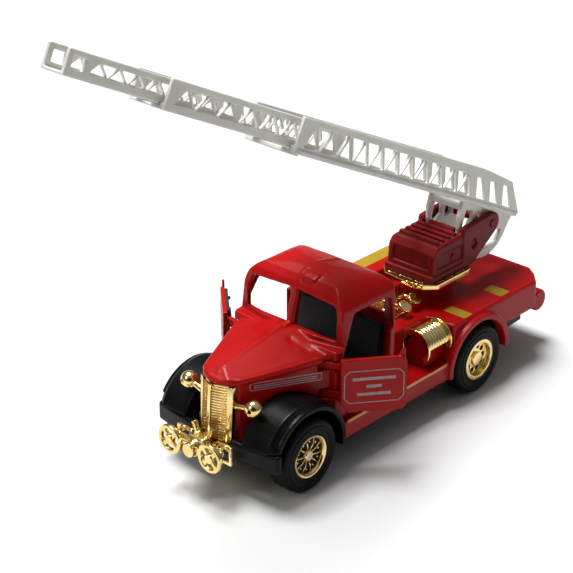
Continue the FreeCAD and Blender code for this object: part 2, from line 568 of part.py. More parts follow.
# ---- front end -------------------------------------------------------------------------------
def grille():
    """Plated radiator shell: a V in plan, with a centre ridge, side strips and cross ribs."""
    def vee(x, w, z0, z1, depth):
        ring = [(x, 0.0), (x - depth * w, w), (x - depth * w - 1.2, w), (x - 1.2, 0.0),
                (x - depth * w - 1.2, -w), (x - depth * w, -w)]
        return prism(ring, "z", z0, z1)
    sweep = GRILLE_SWEEP
    plate = vee(83.9, 5.6, 13.6, 28.8, sweep)
    parts = [plate]
    for i in range(19):
        z = 14.6 + 0.74 * i
        parts.append(vee(84.4, 4.3, z, z + 0.36, sweep))
    ridge = box(83.4, 84.8, -0.5, 0.5, 13.8, 28.9)
    parts.append(ridge)
    for side in (-1, 1):
        a = side * 4.3
        b = side * GRILLE_HALF
        strip = [(84.6 - sweep * 4.3, a), (84.6 - sweep * GRILLE_HALF, b)]
        strip += [(83.4 - sweep * GRILLE_HALF, b), (83.4 - sweep * 4.3, a)]
        parts.append(prism(strip, "z", 13.6, 28.9))
    shell = turned(fuse(parts), -4.0, (83.0, 0, 28.0), (0, 1, 0))
    return cut(shell, [box(70, 95, -10, 10, 10, TRAY_Z[1])])


def headlamp():
    """Left headlamp: a bullet shell with a lens ring, on a short bar from the grille."""
    centre = V(*LAMP)
    ball = Part.makeSphere(2.3, centre)
    cup = Part.makeCone(2.3, 2.5, 1.7, centre, V(1, 0, 0))
    dish = Part.makeCone(1.2, 1.9, 1.3, centre + V(0.6, 0, 0), V(1, 0, 0))
    boss = rod((LAMP[0] + 0.3, LAMP[1], LAMP[2]), 0.5, 1.0, (1, 0, 0))
    start = V(81.5, 5.9, 23.6)
    bar = Part.makeCylinder(0.6, (centre - start).Length, start, centre - start)
    return fuse([cut(fuse([ball.cut(box(LAMP[0], 90, 0, 20, 10, 40)), cup, bar]), [dish]), boss])


def front_plate():
    """Plated tray below the grille, V-shaped in plan."""
    plan = [(79.4, -6.4), (84.8, -6.4), (89.4, -2.4), (89.4, 2.4), (84.8, 6.4), (79.4, 6.4)]
    return cut(prism(plan, "z", *TRAY_Z), [front_pump()])


def front_pump():
    """Plated pump block with a round cap, hand-wheel shafts and side bracket loops."""
    body = box(86.4, 90.4, -2.8, 2.8, 13.0, 16.2)
    body = rounded(body, 0.8, lambda x, y, z: z > 16.1)
    dome = rod((87.0, 0, 13.4), 2.3, 4.4, (1, 0, 0))
    cap = rod((91.4, 0, 13.4), 1.9, 1.5, (1, 0, 0))
    shafts = [rod((88.4, y, WHEEL_Z), 0.6, 2.9, (1, 0, 0)) for y in (-WHEEL_Y, WHEEL_Y)]
    pipe = rod((88.8, -8.2, WHEEL_Z), 0.9, 16.4, (0, 1, 0))
    loops = []
    for side in (-1, 1):
        y0, y1 = sorted((side * 4.2, side * 9.6))
        frame = box(86.2, 87.2, y0, y1, 10.0, 15.4)
        gap = box(86.0, 87.4, y0 + 0.8, y1 - 0.8, 10.9, 14.5)
        t0, t1 = sorted((side * 7.0, side * 7.8))
        loops += [frame.cut(gap), box(86.2, 88.8, t0, t1, 14.5, 15.4), box(87.0, 89.0, t0, t1, 13.9, 15.4)]
    ducts = [turned(rod((87.4, y, 15.4), 0.8, 3.6, (0, 0, 1)), 24 * s, (87.4, y, 15.4), (1, 0, 0))
             for y, s in ((-1.6, 1), (1.6, -1))]
    return fuse([body, dome, cap, pipe] + shafts + loops + ducts)


def handwheel(side):
    """Pump hand-wheel facing forward: a flat rim, four spokes and a hub on its shaft."""
    y = side * WHEEL_Y
    hoop = rod((WHEEL_X, y, WHEEL_Z), 4.0, 1.3, (1, 0, 0))
    hoop = hoop.cut(rod((WHEEL_X - 1, y, WHEEL_Z), 2.9, 4, (1, 0, 0)))
    hoop = rounded(hoop, 0.35, lambda mx, my, mz: mx > WHEEL_X + 1.2)
    hub = rod((WHEEL_X, y, WHEEL_Z), 1.3, 1.5, (1, 0, 0))
    bars = [turned(box(WHEEL_X + 0.2, WHEEL_X + 1.1, y - 0.6, y + 0.6, WHEEL_Z - 3.2, WHEEL_Z + 3.2),
                   45 + 90 * i, (WHEEL_X, y, WHEEL_Z), (1, 0, 0)) for i in range(2)]
    return fuse([hoop, hub] + bars)


# ---- turret ----------------------------------------------------------------------------------
def turntable_plate():
    """Plated platform under the turret: a rounded octagon with long slots around its edge."""
    x0, x1, y1 = -12.6, 8.6, 9.8
    plan = [(x0, -6.0), (x0 + 3.4, -y1), (x1 - 3.2, -y1), (x1, -6.6), (x1 + 0.7, 0.0), (x1, 6.6),
            (x1 - 3.2, y1), (x0 + 3.4, y1), (x0, 6.0)]
    plate = prism(plan, "z", PLATE_Z0, PLATE_Z1)
    plate = rounded(plate, 1.4, lambda x, y, z: abs(z - (PLATE_Z0 + PLATE_Z1) / 2) < 0.01)
    slots = []
    for side in (-1, 1):
        y0, y2 = sorted((side * 8.8, side * 9.2))
        for a, b in ((-7.4, -3.4), (-2.4, 1.2), (2.0, 4.6)):
            slots.append(box(a, b, y0, y2, PLATE_Z0 - 1, PLATE_Z1 + 1))
    for a, b in ((-6.2, -3.2), (-2.2, 2.2), (3.2, 6.2)):
        slots.append(box(7.4, 7.9, a, b, PLATE_Z0 - 1, PLATE_Z1 + 1))
    return cut(plate, slots + [rivet_bore(RUN_GAP)])


def turret_body():
    """Red turret: a ribbed box with two arms that carry the ladder pivot."""
    side = [(-9.0, PLATE_Z1), (5.9, PLATE_Z1), (5.9, 33.4), (5.4, 39.0), (3.6, 41.0)]
    side += [(-8.6, TURRET_Z1), (-9.0, 41.2)]
    hull = prism(side, "y", -8.0, 8.0)
    hull = rounded(hull, 0.8, lambda x, y, z: z > 40 and abs(y) > 7.9)
    flange = box(-9.4, 6.6, -8.4, 8.4, PLATE_Z1, 33.0)
    ribs = []
    for i in range(5):
        x = 2.2 - 2.55 * i
        ribs.append(box(x - 0.8, x + 0.6, -6.6, 6.6, 40.4, TURRET_Z1 + 0.6))
    arms = []
    recesses = []
    bosses = []
    outline = [(-7.6, PLATE_Z1), (-12.4, PLATE_Z1), (-22.6, 38.2)]
    outline += arc_points(PIVOT_X, PIVOT_Z, 3.2, 225, 95, 8)
    outline += [(-8.0, 43.0), (-7.6, 42.0)]
    for s in (-1, 1):
        y0, y1 = sorted((s * ARM_HALF_IN, s * ARM_HALF_OUT))
        arms.append(prism(outline, "y", y0, y1))
        a, b = sorted((s * 7.6, s * 9.0))
        recesses.append(prism([(-10.6, 38.4), (-13.0, 39.0), (-14.0, 36.6), (-11.8, 35.6)], "y", a, b))
        recesses.append(prism([(-7.6, 34.4), (3.9, 34.4), (1.4, 38.6), (-7.6, 38.6)], "y", a, b))
        bosses.append(rod((-3.4, min(s * 7.4, s * 8.1), 36.2), 0.8, 0.7, (0, 1, 0)))
    front = box(5.2, 7.0, -6.2, 6.2, 34.4, 39.0)
    hollow = box(-12.0, 3.6, -6.3, 6.3, 33.6, 40.2)
    cradle_ways = both(box(-12.0, -6.2, 4.4, 6.4, 33.0, 45.0))
    body = cut(fuse([hull, flange] + ribs), [front, hollow] + cradle_ways)
    body = cut(fuse([body] + arms), recesses)
    body = fuse([body] + bosses)
    pin = rod((PIVOT_X, -12, PIVOT_Z), 1.0, 24, (0, 1, 0))
    return cut(body, [rivet_bore(RUN_GAP), pin])


def turret_rivet():
    """Hollow steel rivet: the turret turns on it."""
    low = DECK_Z - WALL - 0.9
    shank = rod((TURRET_X, 0, low), 1.6, 33.9 - low, (0, 0, 1))
    head = rod((TURRET_X, 0, 33.7), 2.8, 0.8, (0, 0, 1))
    curl = rod((TURRET_X, 0, low), 2.7, 0.9, (0, 0, 1))
    return cut(fuse([shank, head, curl]), [rod((TURRET_X, 0, 20), 0.8, 10, (0, 0, 1))])


def pivot_pin():
    return rod((PIVOT_X, -ARM_HALF_OUT - 0.2, PIVOT_Z), 1.0, 2 * ARM_HALF_OUT + 0.4, (0, 1, 0))


# ---- ladder ----------------------------------------------------------------------------------
def on_ladder(shape):
    """Take a shape drawn with the pivot at (0, 0, 0) and the ladder level to its rest position."""
    out = turned(shape, -PITCH, (0, 0, 0), (0, 1, 0))
    out.translate(V(PIVOT_X, 0, PIVOT_Z))
    return out


def truss_holes(s0, s1, n0, n1, bays, bar):
    """Triangular windows of a zig-zag truss between two rails, pointing up and down by turns."""
    out = []
    step = (s1 - s0) / bays
    for i in range(bays):
        a = s0 + step * i
        b = a + step
        m = (a + b) / 2
        out.append([(a + bar, n0), (b - bar, n0), (m + bar * 0.12, n1), (m - bar * 0.12, n1)])
        if i < bays - 1:
            out.append([(m + bar, n1), (b + step / 2 - bar, n1), (b + bar * 0.12, n0), (b - bar * 0.12, n0)])
    return out


def ladder_section(sec, bays, flange, first, last):
    """One U-shaped section: floor with rungs, two truss sides, a top rail and end frames."""
    s0, s1, n0, n1, half = sec["s0"], sec["s1"], sec["n0"], sec["n1"], sec["half"]
    floor = box(s0, s1, -half, half, n0, n0 + LADDER_FLOOR)
    outline = first + [(s1, n0), (s1, n1)]
    wall = prism(outline, "y", half - RAIL_T, half)
    windows = truss_holes(last[0], last[1], n0 + 2.1, n1 - 1.5, bays, last[2])
    cuts = [prism(w, "y", half - RAIL_T - 1, half + 1) for w in windows]
    wall = wall.cut(cuts)
    lip = box(s0 + 0.4, s1 - 0.6, half - RAIL_T, half + flange, n0, n0 + 1.3)
    gaps = []
    pitch = 5.6
    count = int((s1 - s0 - 6) / pitch)
    for i in range(count):
        a = s0 + 4.0 + pitch * i
        gaps.append(box(a, a + pitch - 1.5, -half + 2.4, half - 2.4, n0 - 1, n0 + LADDER_FLOOR + 1))
    return cut(fuse([floor] + both(wall) + both(lip)), gaps)


def ladder_main():
    """Bottom section, on the cradle; its rear end is cut back at the top."""
    m = MAIN
    start = [(12.0, m["n1"] + 1.2), (-3.2, m["n1"]), (m["s0"] - 0.6, m["n0"] + 1.4), (m["s0"], m["n0"])]
    body = ladder_section(m, 11, 0.35, start, (15.0, 92.6, 0.62))
    extra = []
    for i in range(3):
        a = -6.4 + 7.0 * i
        lean = 2.6
        top = m["n1"] - 1.7
        low = m["n0"] + 2.1
        extra.append([(a, low), (a + 4.6, low), (a + 4.6 + lean, top), (a + 1.6 + lean, top)])
    cuts = [prism(w, "y", -12, 12) for w in extra]
    guides = []
    for side in (-1, 1):
        y0, y1 = sorted((side * 6.3, side * 7.5))
        guides.append(box(20.0, m["s1"], y0, y1, m["n0"] + LADDER_FLOOR - 0.1, m["n0"] + 1.9))
    end = box(m["s1"] - 1.6, m["s1"], -m["half"], m["half"], m["n0"] - 0.5, m["n0"] + LADDER_FLOOR)
    return on_ladder(fuse([cut(body, cuts), end] + guides))


def ladder_mid():
    m = MID
    start = [(m["s0"], m["n1"]), (m["s0"], m["n0"])]
    body = ladder_section(m, 8, 0.0, start, (m["s0"] + 1.6, m["s1"] - 2.0, 0.55))
    guides = []
    for side in (-1, 1):
        y0, y1 = sorted((side * 4.0, side * 5.1))
        guides.append(box(m["s0"] + 10, m["s1"], y0, y1, m["n0"] + LADDER_FLOOR - 0.1, m["n0"] + 1.7))
    return on_ladder(fuse([body] + guides))


def ladder_tip():
    m = TIP
    start = [(m["s0"], m["n1"]), (m["s0"], m["n0"])]
    body = ladder_section(m, 8, 0.0, start, (m["s0"] + 1.4, m["s1"] - 6.6, 0.5))
    window = box(m["s1"] - 5.4, m["s1"] - 1.6, -5, 5, m["n0"] + 1.9, m["n1"] - 1.4)
    return on_ladder(cut(body, [window]))


def ladder_cradle():
    """Two sector plates under the ladder, with spoke windows, joined by two cross webs."""
    outline = [(14.2, MAIN["n0"]), (13.6, -1.0), (12.0, -4.4), (8.4, -8.2)]
    outline += arc_points(0.0, 0.0, 11.2, 290, 186, 14)
    outline += [(-11.6, 1.6), (-12.2, MAIN["n0"])]
    windows = [
        [(11.4, 1.6), (8.0, 1.6), (6.6, -1.8), (9.0, -4.6), (10.8, -3.4)],
        [(5.8, 1.6), (3.4, 1.6), (2.4, -1.0), (4.8, -2.6)],
        [(-4.0, -1.8), (-8.8, -1.2), (-8.2, -5.0), (-3.0, -8.2)],
        [(3.4, -4.2), (7.0, -6.6), (2.6, -8.6), (1.0, -8.6)],
    ]
    plates = []
    for side in (-1, 1):
        y0, y1 = sorted((side * CRADLE_IN, side * CRADLE_OUT))
        plate = prism(outline, "y", y0, y1)
        holes = [prism(w, "y", y0 - 1, y1 + 1) for w in windows]
        plates.append(plate.cut(holes))
    webs = [box(12.2, 13.4, -CRADLE_OUT, CRADLE_OUT, 0.9, MAIN["n0"])]
    webs.append(box(-11.4, -10.0, -CRADLE_OUT, CRADLE_OUT, 0.6, MAIN["n0"]))
    bore = rod((0, -12, 0), 1.0 + RUN_GAP, 24, (0, 1, 0))
    return on_ladder(cut(fuse(plates + webs), [bore]))


# ---- pull-back motor -------------------------------------------------------------------------
def gear(teeth, width, bore):
    """Spur gear about the Y axis with straight-sided teeth and generous backlash."""
    pitch_r = GEAR_MODULE * teeth / 2
    root = pitch_r - 1.25 * GEAR_MODULE
    tip = pitch_r + 0.8 * GEAR_MODULE
    half_root = 0.30 * math.pi * GEAR_MODULE
    half_tip = 0.12 * math.pi * GEAR_MODULE
    disc = rod((0, -width / 2, 0), root, width, (0, 1, 0))
    tooth = prism([(root - 0.3, -half_root), (tip, -half_tip), (tip, half_tip), (root - 0.3, half_root)],
                  "y", -width / 2, width / 2)
    ring = [turned(tooth, 360.0 * i / teeth, (0, 0, 0), (0, 1, 0)) for i in range(teeth)]
    return cut(fuse([disc] + ring), [rod((0, -width, 0), bore, 2 * width, (0, 1, 0))])


def axle_gear():
    out = gear(AXLE_TEETH, 2.6, AXLE_R)
    out.translate(V(0, 3.2, TYRE_R))
    return out


def spring_gear():
    """Large gear that winds the mainspring, turned half a tooth so that it meshes at rest."""
    out = gear(SPRING_TEETH, 2.0, 0.8)
    towards = math.degrees(math.atan2(TYRE_R - SPRING_Z, -SPRING_X))
    mesh = axle_tooth_phase(towards)
    out = turned(out, mesh, (0, 0, 0), (0, 1, 0))
    out.translate(V(SPRING_X, 3.2, SPRING_Z))
    return out


def axle_tooth_phase(towards):
    """Turn of the large gear that puts one of its gaps opposite a tooth of the axle gear.

    Angles are measured in the X-Z plane from +X towards +Z; a turn about +Y goes the other way.
    """
    line = (towards + 180.0) % 360.0
    small = 360.0 / AXLE_TEETH
    off = (line % small) / small
    large = 360.0 / SPRING_TEETH
    return -(towards + large * (0.5 + off))


def spring_arbor():
    return rod((SPRING_X, -MOTOR_HALF + 0.1, SPRING_Z), 0.8, 2 * MOTOR_HALF - 0.2, (0, 1, 0))


def mainspring():
    """Wound flat spring in its drum space, as a thin-walled ring of three turns."""
    out = []
    for r in (2.2, 3.4, 4.6):
        coil = rod((SPRING_X, -5.6, SPRING_Z), r + 0.35, 4.8, (0, 1, 0))
        out.append(coil.cut(rod((SPRING_X, -7, SPRING_Z), r, 9, (0, 1, 0))))
    bridge = box(SPRING_X + 1.2, SPRING_X + 4.7, -5.6, -0.8, SPRING_Z - 0.25, SPRING_Z + 0.25)
    hub = rod((SPRING_X, -5.6, SPRING_Z), 1.3, 4.8, (0, 1, 0))
    return cut(fuse(out + [bridge, hub]), [rod((SPRING_X, -7, SPRING_Z), 0.8, 9, (0, 1, 0))])


def motor_case(upper):
    """One half of the motor's clamshell, split at the height of the axle."""
    x0, x1, z0, z1 = -4.4, 16.2, 3.9, 19.6
    shell = box(x0, x1, -MOTOR_HALF, MOTOR_HALF, z0, z1)
    shell = rounded(shell, 1.0, lambda x, y, z: abs(y) > MOTOR_HALF - 0.01)
    room = box(x0 + CASE_T, x1 - CASE_T, -MOTOR_HALF + CASE_T, MOTOR_HALF - CASE_T, z0 + CASE_T, z1 - CASE_T)
    bores = [rod((0, -12, TYRE_R), AXLE_R + RUN_GAP, 24, (0, 1, 0)),
             rod((SPRING_X, -12, SPRING_Z), 0.8 + RUN_GAP, 24, (0, 1, 0))]
    keep = box(-20, 30, -20, 20, TYRE_R, 40) if upper else box(-20, 30, -20, 20, 0, TYRE_R)
    ears = []
    if upper:
        ears.append(box(x0 - 2.0, x0, -4, 4, FLOOR_Z + FLOOR_T, TYRE_R + 1.4))
        ears.append(box(x1, x1 + 2.0, -4, 4, FLOOR_Z + FLOOR_T, TYRE_R + 1.4))
    return cut(fuse([cut(shell, [room]).common(keep)] + ears), bores)


# ---- write the parts -------------------------------------------------------------------------
def build():
    parts = {
        "chassis_base": chassis_base(),
        "chassis_screws": chassis_screws(),
        "front_bumper": front_bumper(),
        "front_fender_left": front_fender(),
        "front_fender_right": flip(front_fender()),
        "cab_body": cab_body(),
        "cab_interior": cab_interior(),
        "steering_wheel": steering_wheel(),
        "door_pins": door_pins(),
        "rear_body": rear_body(),
        "tail_roller": tail_roller(),
        "side_locker": side_locker(),
        "reel_stand": reel_stand(),
        "hose_reel": hose_reel(),
        "deck_valves": deck_valves(),
        "grille": grille(),
        "headlamp_left": headlamp(),
        "headlamp_right": flip(headlamp()),
        "front_plate": front_plate(),
        "front_pump": front_pump(),
        "turntable_plate": turntable_plate(),
        "turret_body": turret_body(),
        "turret_rivet": turret_rivet(),
        "pivot_pin": pivot_pin(),
        "ladder_cradle": ladder_cradle(),
        "ladder_main": ladder_main(),
        "ladder_mid": ladder_mid(),
        "ladder_tip": ladder_tip(),
        "axle_gear": axle_gear(),
        "spring_gear": spring_gear(),
        "spring_arbor": spring_arbor(),
        "mainspring": mainspring(),
        "motor_case_top": motor_case(True),
        "motor_case_bottom": motor_case(False),
        "front_axle": axle(WHEELBASE, TRACK_HALF - 0.9),
        "rear_axle": axle(0.0, TRACK_HALF - 1.8),
    }
    for name, side in (("left", 1), ("right", -1)):
        parts["front_tyre_" + name] = tyre(WHEELBASE, side)
        parts["rear_tyre_" + name] = tyre(0.0, side)
        parts["front_rim_" + name] = rim(WHEELBASE, side, False)
        parts["rear_rim_" + name] = rim(0.0, side, True)
        parts["pump_handwheel_" + name] = handwheel(side)
        parts["door_" + name] = hung(door_panel(), name)
        parts["door_liner_" + name] = hung(door_liner(), name)
    return parts


def main():
    os.makedirs("parts", exist_ok=True)
    tip_x = PIVOT_X + TIP["s1"] * math.cos(math.radians(PITCH)) - TIP["n0"] * math.sin(math.radians(PITCH))
    centre_x = (ROLLER_X - ROLLER_R + tip_x) / 2
    for name, shape in build().items():
        shape.translate(V(-centre_x, 0, 0))
        shape.exportStep("parts/" + name + ".step")
        row = (name, len(shape.Solids), shape.isValid(), shape.Volume)
        print("%-22s solids %d valid %s volume %8.1f" % row)
    print("centre x %.4f" % centre_x)


main()
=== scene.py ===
"""Looks for the toy fire engine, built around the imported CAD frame."""

import bmesh
import bpy
import math
from mathutils import Matrix, Vector

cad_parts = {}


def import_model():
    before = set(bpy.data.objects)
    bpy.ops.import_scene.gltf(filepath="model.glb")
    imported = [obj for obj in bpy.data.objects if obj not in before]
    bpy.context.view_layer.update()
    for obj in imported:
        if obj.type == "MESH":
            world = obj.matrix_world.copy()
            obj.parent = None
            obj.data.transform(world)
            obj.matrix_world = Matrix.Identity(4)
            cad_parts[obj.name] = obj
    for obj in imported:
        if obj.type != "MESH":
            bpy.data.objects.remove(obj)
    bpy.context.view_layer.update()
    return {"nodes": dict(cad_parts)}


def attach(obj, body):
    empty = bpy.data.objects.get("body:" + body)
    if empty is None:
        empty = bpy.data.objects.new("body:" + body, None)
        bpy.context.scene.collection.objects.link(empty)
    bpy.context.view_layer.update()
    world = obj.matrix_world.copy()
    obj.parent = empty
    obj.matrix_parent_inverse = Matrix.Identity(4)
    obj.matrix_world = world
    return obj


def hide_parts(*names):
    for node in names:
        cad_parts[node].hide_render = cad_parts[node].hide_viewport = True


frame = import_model()
nodes = frame["nodes"]

# Sizes in mm. Places are measured from the rear axle (x), the middle (y) and the ground (z).
CENTRE_X = 44.8122                          # rear axle to the frame's origin
WHEELBASE = 70.0
AXLE_Z = 10.0
DOOR_HINGE = (58.5, 13.5)
DOOR_OPEN = {"left": 38.4, "right": 47.2}   # degrees from closed in the rest pose
DOOR_REAR = 36.74
DOOR_FRONT = 53.84
DOOR_FACE = 18.6                            # outer face of a closed door
HOOD_SIDE = ((57.6, 15.9), (80.2, 6.3))     # two (x, y) points along the side of the hood
DECK_TOP = 24.0
LOCKER_TOP = 28.9
SKIRT_FACE = 20.2
SIDES = ((1.0, "left"), (-1.0, "right"))


def mm(x, y, z):
    """A place in mm from the rear axle, as a frame vector in metres."""
    return Vector(((x - CENTRE_X) / 1000.0, y / 1000.0, z / 1000.0))


# ---------------------------------------------------------------- materials
def shader(name, base, rough=0.4, metallic=0.0, coat=0.0, coat_rough=0.08, vary=0.12, vary_scale=90.0,
           grain=0.10, grain_scale=1500.0, wave=0.0, wave_scale=120.0, specular=0.5, edge=0.0,
           subsurface=0.0, wear=None, wear_scale=260.0, wear_at=0.66, second=None):
    """A moulded, cast or plated surface.

    The colour and the roughness drift a little over the surface, and fine grain roughens it. wave gives it
    the long ripple of poured metal or paint, wear scatters spots of another colour, and edge rounds the
    shading at corners.
    """
    m = bpy.data.materials.new(name)
    m.use_nodes = True
    t = m.node_tree
    t.nodes.clear()
    new = t.nodes.new
    link = t.links.new
    out = new("ShaderNodeOutputMaterial")
    b = new("ShaderNodeBsdfPrincipled")
    link(b.outputs[0], out.inputs[0])
    b.inputs["Metallic"].default_value = metallic
    b.inputs["Coat Weight"].default_value = coat
    b.inputs["Coat Roughness"].default_value = coat_rough
    b.inputs["Specular IOR Level"].default_value = specular
    b.inputs["Subsurface Weight"].default_value = subsurface
    if subsurface:
        b.inputs["Subsurface Radius"].default_value = (1.0, 0.9, 0.75)
        b.inputs["Subsurface Scale"].default_value = 0.002
    co = new("ShaderNodeTexCoord")
    drift = new("ShaderNodeTexNoise")
    drift.inputs["Scale"].default_value = vary_scale
    drift.inputs["Detail"].default_value = 4.0
    link(co.outputs["Object"], drift.inputs["Vector"])
    ramp = new("ShaderNodeValToRGB")
    lo = [c * (1.0 - vary) for c in base]
    hi = [min(1.0, c * (1.0 + vary)) for c in (second or base)]
    ramp.color_ramp.elements[0].position = 0.3
    ramp.color_ramp.elements[1].position = 0.7
    ramp.color_ramp.elements[0].color = (*lo, 1)
    ramp.color_ramp.elements[1].color = (*hi, 1)
    link(drift.outputs["Fac"], ramp.inputs["Fac"])
    colour = ramp.outputs["Color"]
    if wear:
        spots = new("ShaderNodeTexNoise")
        spots.inputs["Scale"].default_value = wear_scale
        spots.inputs["Detail"].default_value = 6.0
        link(co.outputs["Object"], spots.inputs["Vector"])
        pick = new("ShaderNodeMapRange")
        pick.inputs["From Min"].default_value = wear_at
        pick.inputs["From Max"].default_value = wear_at + 0.08
        link(spots.outputs["Fac"], pick.inputs["Value"])
        mix = new("ShaderNodeMix")
        mix.data_type = "RGBA"
        link(pick.outputs["Result"], mix.inputs[0])
        link(colour, mix.inputs[6])
        mix.inputs[7].default_value = (*wear, 1)
        colour = mix.outputs[2]
    link(colour, b.inputs["Base Color"])
    rr = new("ShaderNodeMapRange")
    rr.inputs["To Min"].default_value = max(0.02, rough * 0.82)
    rr.inputs["To Max"].default_value = min(1.0, rough * 1.2)
    link(drift.outputs["Fac"], rr.inputs["Value"])
    link(rr.outputs["Result"], b.inputs["Roughness"])
    fine = new("ShaderNodeTexNoise")
    fine.inputs["Scale"].default_value = grain_scale
    fine.inputs["Detail"].default_value = 3.0
    link(co.outputs["Object"], fine.inputs["Vector"])
    bump = new("ShaderNodeBump")
    bump.inputs["Strength"].default_value = grain
    bump.inputs["Distance"].default_value = 0.0001
    link(fine.outputs["Fac"], bump.inputs["Height"])
    last = bump
    if wave:
        soft = new("ShaderNodeTexNoise")
        soft.inputs["Scale"].default_value = wave_scale
        soft.inputs["Detail"].default_value = 1.0
        link(co.outputs["Object"], soft.inputs["Vector"])
        peel = new("ShaderNodeBump")
        peel.inputs["Strength"].default_value = wave
        peel.inputs["Distance"].default_value = 0.0004
        link(soft.outputs["Fac"], peel.inputs["Height"])
        link(bump.outputs["Normal"], peel.inputs["Normal"])
        last = peel
    if edge:
        bevel = new("ShaderNodeBevel")
        bevel.samples = 4
        bevel.inputs["Radius"].default_value = edge
        link(bevel.outputs["Normal"], bump.inputs["Normal"])
    link(last.outputs["Normal"], b.inputs["Normal"])
    return m


RED = shader("red_enamel", (0.33, 0.0025, 0.0025), rough=0.36, coat=0.10, coat_rough=0.10, vary=0.06,
             wave=0.05, wave_scale=160.0, grain=0.04, specular=0.11, wear=(0.24, 0.002, 0.002),
             wear_scale=420.0, wear_at=0.70)
TURRET_RED = shader("turret_red", (0.15, 0.003, 0.003), rough=0.42, specular=0.14, vary=0.22,
                    vary_scale=420.0, grain=0.4, grain_scale=1900.0, wave=0.08, wave_scale=420.0)
BLACK = shader("black_plastic", (0.003, 0.003, 0.0035), rough=0.30, vary=0.3, grain=0.2,
               grain_scale=2600.0, specular=0.12)
INSIDE = shader("cab_black", (0.006, 0.006, 0.007), rough=0.55, vary=0.3, grain=0.5, grain_scale=2200.0)
RUBBER = shader("tyre_rubber", (0.0035, 0.0035, 0.004), rough=0.50, vary=0.35, vary_scale=220.0, grain=0.4,
                grain_scale=2400.0, specular=0.12)
GOLD = shader("gold_plate", (0.80, 0.58, 0.20), second=(0.90, 0.72, 0.36), rough=0.17, metallic=1.0,
              vary=0.05, vary_scale=160.0, grain=0.08, grain_scale=1700.0, wave=0.10, wave_scale=260.0)
WHITE = shader("ladder_white", (0.60, 0.595, 0.56), second=(0.64, 0.635, 0.61), rough=0.34, coat=0.2,
               coat_rough=0.2, vary=0.02, grain=0.10, grain_scale=1300.0, subsurface=0.3)
STEEL = shader("bright_steel", (0.62, 0.62, 0.63), rough=0.28, metallic=1.0, vary=0.10, vary_scale=300.0,
               grain=0.25, grain_scale=1700.0, edge=0.0001)
NATURAL = shader("gear_plastic", (0.68, 0.65, 0.56), rough=0.5, vary=0.06, grain=0.2, edge=0.0001)
SILVER = shader("silver_print", (0.30, 0.20, 0.21), rough=0.42, metallic=0.2, vary=0.18, vary_scale=900.0,
                grain=0.4, grain_scale=2600.0, wear=(0.46, 0.05, 0.05), wear_scale=1500.0, wear_at=0.66)
YELLOW = shader("yellow_print", (0.32, 0.20, 0.012), rough=0.42, specular=0.2, vary=0.10, vary_scale=700.0,
                grain=0.3, grain_scale=2600.0, wear=(0.50, 0.12, 0.02), wear_scale=1500.0, wear_at=0.68)
STRIPE = shader("gold_print", (0.55, 0.25, 0.07), rough=0.40, coat=0.2, metallic=0.2, vary=0.12,
                vary_scale=700.0, grain=0.3, grain_scale=2600.0, wear=(0.55, 0.10, 0.03), wear_scale=1700.0,
                wear_at=0.66)


# ---------------------------------------------------------------- mesh tools
def finish_mesh(obj, body, material, replaced=(), smooth_angle=None):
    """Give the piece its material, in its only slot, and its body; edges sharper than smooth_angle in degrees
    stay sharp.
    """
    obj.data.materials.clear()
    obj.data.materials.append(material)
    for p in obj.data.polygons:
        p.use_smooth = True
        p.material_index = 0
    if smooth_angle is not None:
        obj.data.set_sharp_from_angle(angle=math.radians(smooth_angle))
    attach(obj, body)
    if replaced:
        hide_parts(*replaced)
    return obj


def applied(obj):
    """The object with its modifiers made real."""
    deps = bpy.context.evaluated_depsgraph_get()
    mesh = bpy.data.meshes.new_from_object(obj.evaluated_get(deps))
    obj.modifiers.clear()
    old = obj.data
    obj.data = mesh
    bpy.data.meshes.remove(old)
    return obj


def holder(name, mesh):
    """A new object for a mesh."""
    obj = bpy.data.objects.new(name, mesh)
    bpy.context.scene.collection.objects.link(obj)
    return obj


def node_copy(node, name, weld=2e-6):
    """A welded copy of a CAD node's mesh, as an object of its own."""
    mesh = nodes[node].data.copy()
    bm = bmesh.new()
    bm.from_mesh(mesh)
    bmesh.ops.remove_doubles(bm, verts=bm.verts, dist=weld)
    bm.to_mesh(mesh)
    bm.free()
    return holder(name, mesh)


def prism(points, axis, lo, hi):
    """A bar along axis from lo to hi; its points are (x, z) for axis y, and (x, y) for axis z."""
    place = {"y": lambda a, b, c: mm(a, c, b), "z": mm}[axis]
    n = len(points)
    verts = [place(a, b, lo) for a, b in points] + [place(a, b, hi) for a, b in points]
    faces = [list(range(n))[::-1], list(range(n, 2 * n))]
    faces += [[i, (i + 1) % n, n + (i + 1) % n, n + i] for i in range(n)]
    return verts, faces


def solid(name, forms, turn=None):
    """One object from several closed forms; turn is a matrix applied to all of them."""
    bm = bmesh.new()
    for verts, faces in forms:
        vs = [bm.verts.new(turn @ v if turn else v) for v in verts]
        for f in faces:
            bm.faces.new([vs[i] for i in f])
    bmesh.ops.recalc_face_normals(bm, faces=bm.faces)
    mesh = bpy.data.meshes.new(name)
    bm.to_mesh(mesh)
    bm.free()
    return holder(name, mesh)


def join(target, others):
    """Move the other objects' meshes into the target."""
    bm = bmesh.new()
    for o in [target] + others:
        bm.from_mesh(o.data)
    bm.to_mesh(target.data)
    bm.free()
    for o in others:
        bpy.data.objects.remove(o)


def carve(obj, tool):
    """Take the tool's space out of the object."""
    mod = obj.modifiers.new("cut", "BOOLEAN")
    mod.operation = "DIFFERENCE"
    mod.solver = "EXACT"
    mod.object = tool
    applied(obj)
    bpy.data.objects.remove(tool)


def ramp(value, start, end):
    """0 at the start, 1 at the end and beyond it."""
    return max(0.0, min(1.0, (value - start) / (end - start)))


